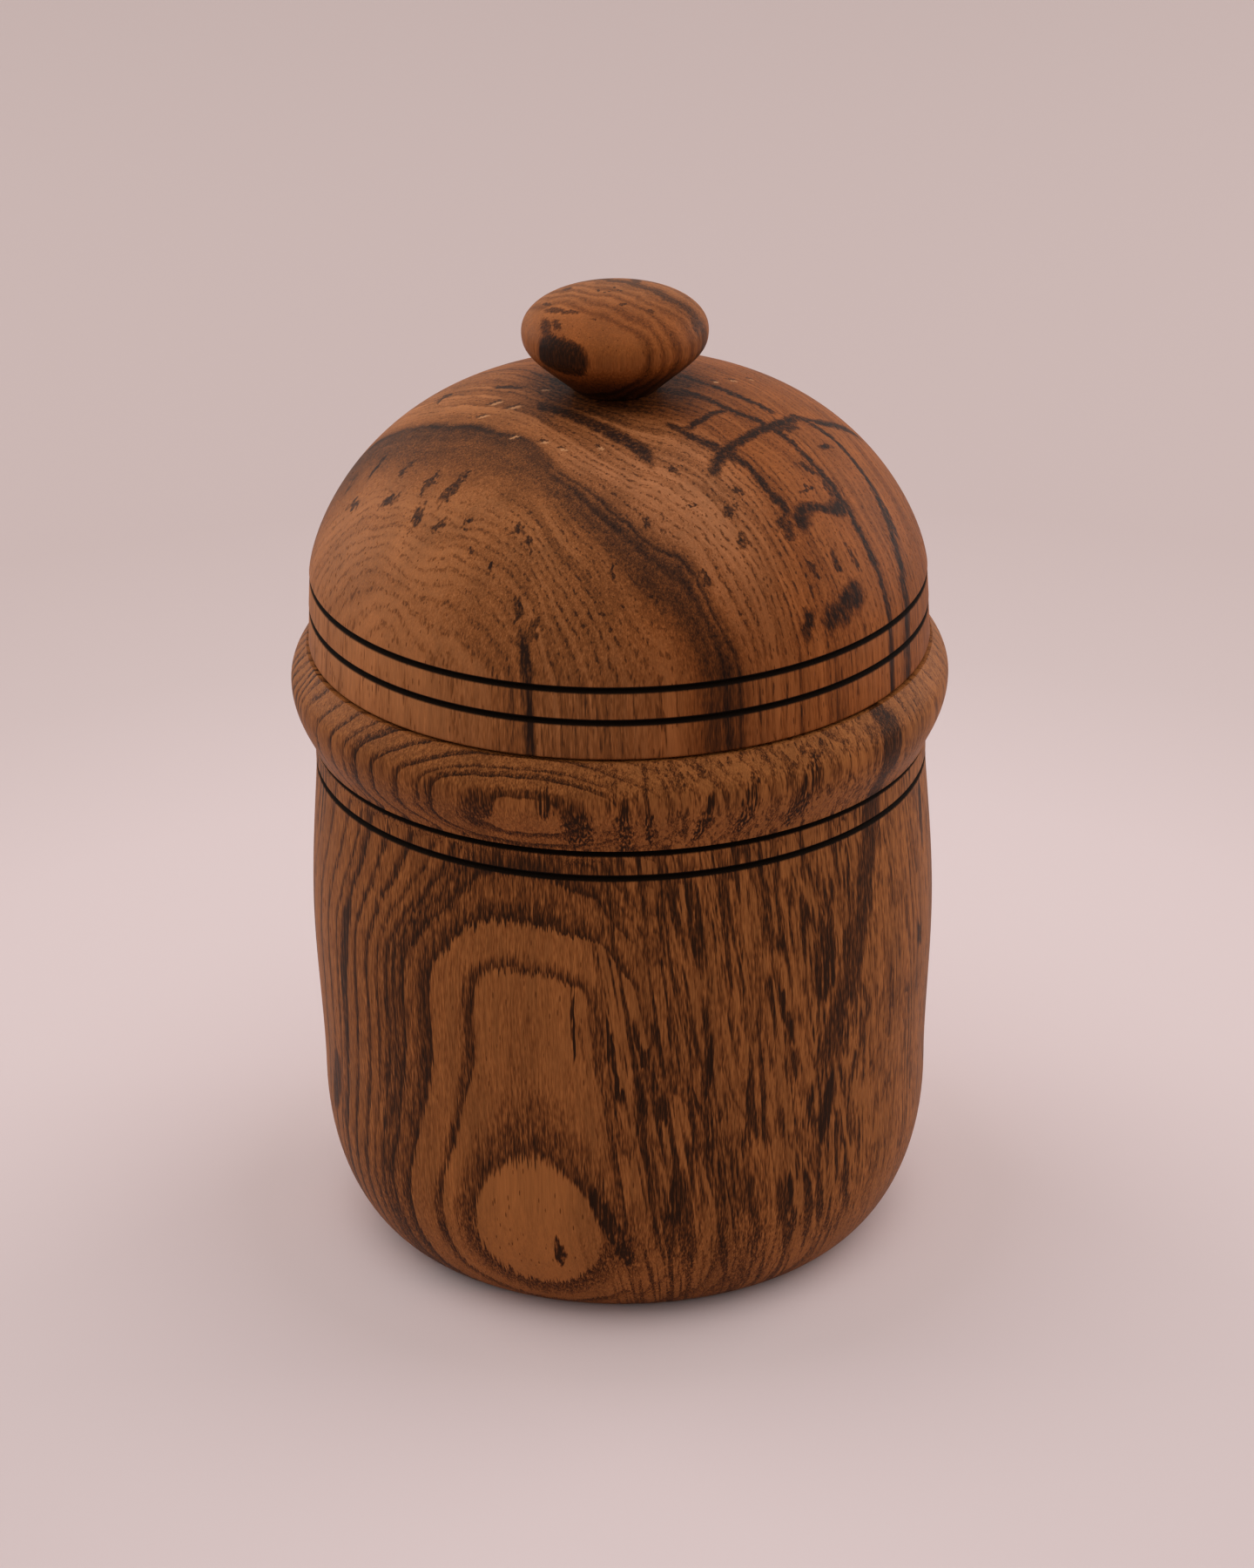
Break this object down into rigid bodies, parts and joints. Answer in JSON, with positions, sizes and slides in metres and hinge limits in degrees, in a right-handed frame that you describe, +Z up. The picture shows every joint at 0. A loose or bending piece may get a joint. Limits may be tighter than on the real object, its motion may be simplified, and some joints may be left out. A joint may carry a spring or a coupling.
{
  "type": "turned wooden canister",
  "caption": "Turned hardwood canister with a beaded collar, burned line rings, a domed lift-off lid that plugs into the mouth and a bun knob.",
  "frame": {"origin": "middle of the flat foot that the canister stands on", "axes": "+Z up along the turning axis, towards the knob; -Y faces the picture's camera"},
  "size_m": [0.11, 0.11, 0.1658],
  "materials": {
    "striped_wood": "oiled satin, dark striped figure",
    "pale_wood": "oiled satin, paler figure with dark ink lines"
  },
  "bodies": {
    "pot": {"body": "striped_wood"},
    "lid_and_knob": {"lid": "pale_wood", "knob": "pale_wood"}
  },
  "joints": [
    {"name": "lid_lift", "type": "slide", "parent": "pot", "child": "lid_and_knob", "axis": [0, 0, 1], "range_m": [0, 0.09]}
  ]
}
